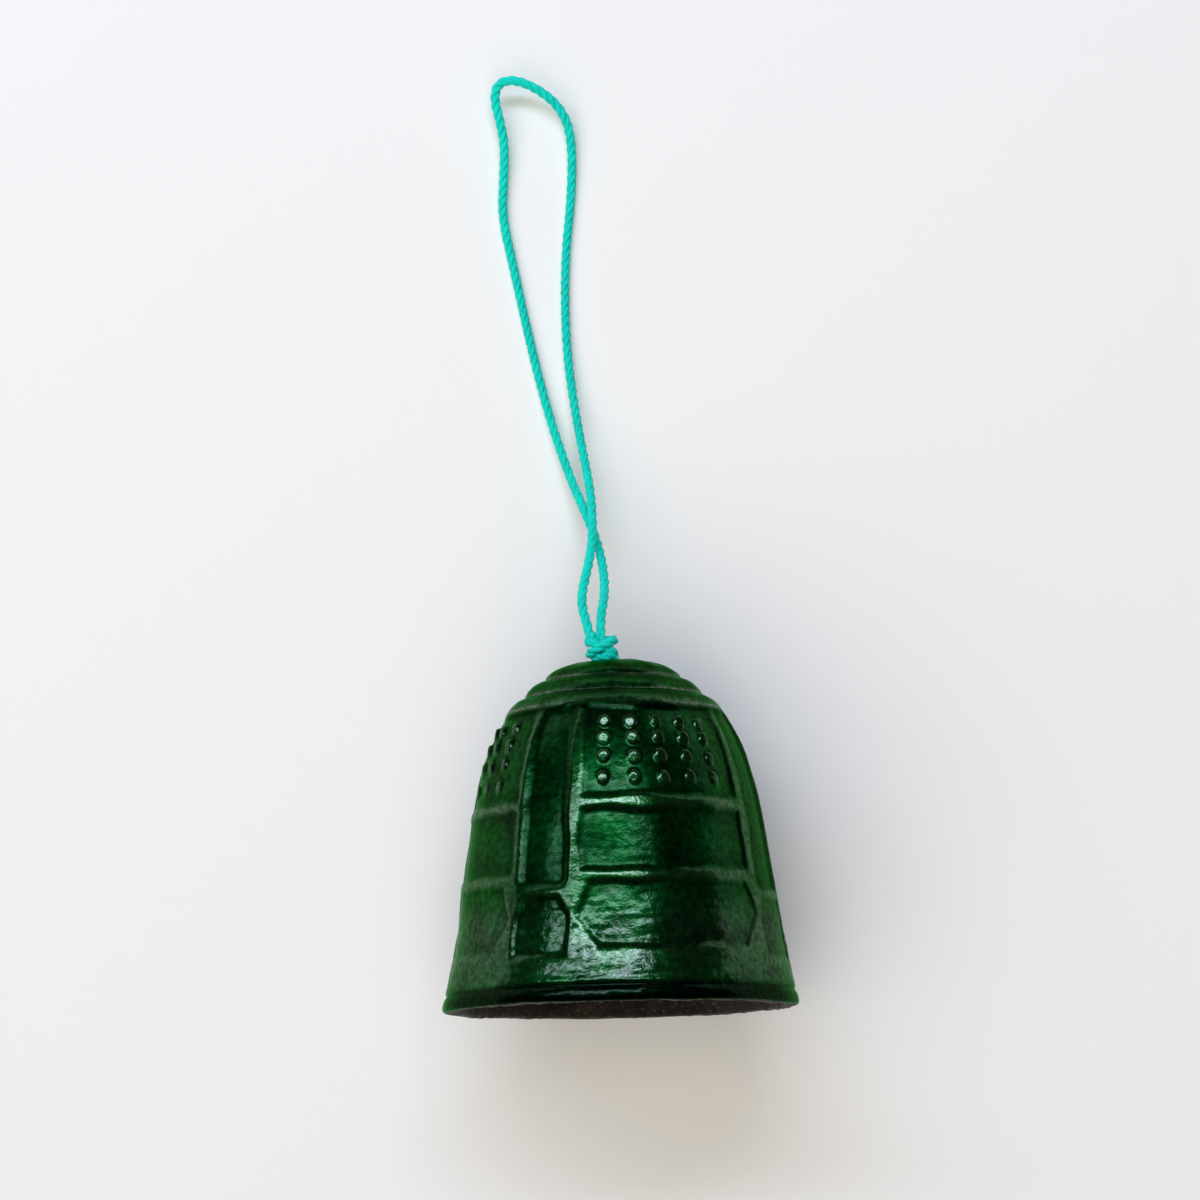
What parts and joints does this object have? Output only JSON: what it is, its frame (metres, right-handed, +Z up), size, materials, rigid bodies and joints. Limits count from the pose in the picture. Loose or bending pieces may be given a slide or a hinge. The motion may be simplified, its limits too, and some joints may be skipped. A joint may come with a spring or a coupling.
{
  "type": "wind bell",
  "caption": "Small cast-iron wind bell shaped like a temple bell, glossy green enamel, with a clapper inside and a knotted teal hanging cord.",
  "frame": {"origin": "on the surface the bell lies on, under the middle of the bell's own box, cord left out", "axes": "+Z up from the surface, +Y from the bell's mouth towards its crown and cord, +X to the right seen from above"},
  "size_m": [0.0658, 0.1824, 0.0652],
  "materials": {
    "enamelled_iron": "glossy deep green enamel outside, bare rough iron inside",
    "bare_iron": "rough as cast, dark brown-black",
    "cord": "matt laid cord"
  },
  "bodies": {
    "bell": {"bell_body": "enamelled_iron"},
    "cord": {"crown_strands": "cord", "stop_knot": "cord"},
    "loop": {"top_knot": "cord", "hanging_loop": "cord"},
    "clapper": {"clapper_cord": "cord", "clapper": "bare_iron", "clapper_knot": "cord"}
  },
  "joints": [
    {"name": "cord_turn", "type": "hinge", "parent": "bell", "child": "cord", "pos_m": [0, -0.02989, 0.03269], "axis": [0, 0.9876, -0.1568], "continuous": true},
    {"name": "loop_swing", "type": "hinge", "parent": "cord", "child": "loop", "pos_m": [-0.0022, 0.03726, 0.02203], "axis": [1, 0, 0], "range_deg": [0, 95]},
    {"name": "clapper_swing", "type": "hinge", "parent": "cord", "child": "clapper", "pos_m": [0, 0.0244, 0.02407], "axis": [-1, 0, 0], "range_deg": [0, 47.18]}
  ]
}
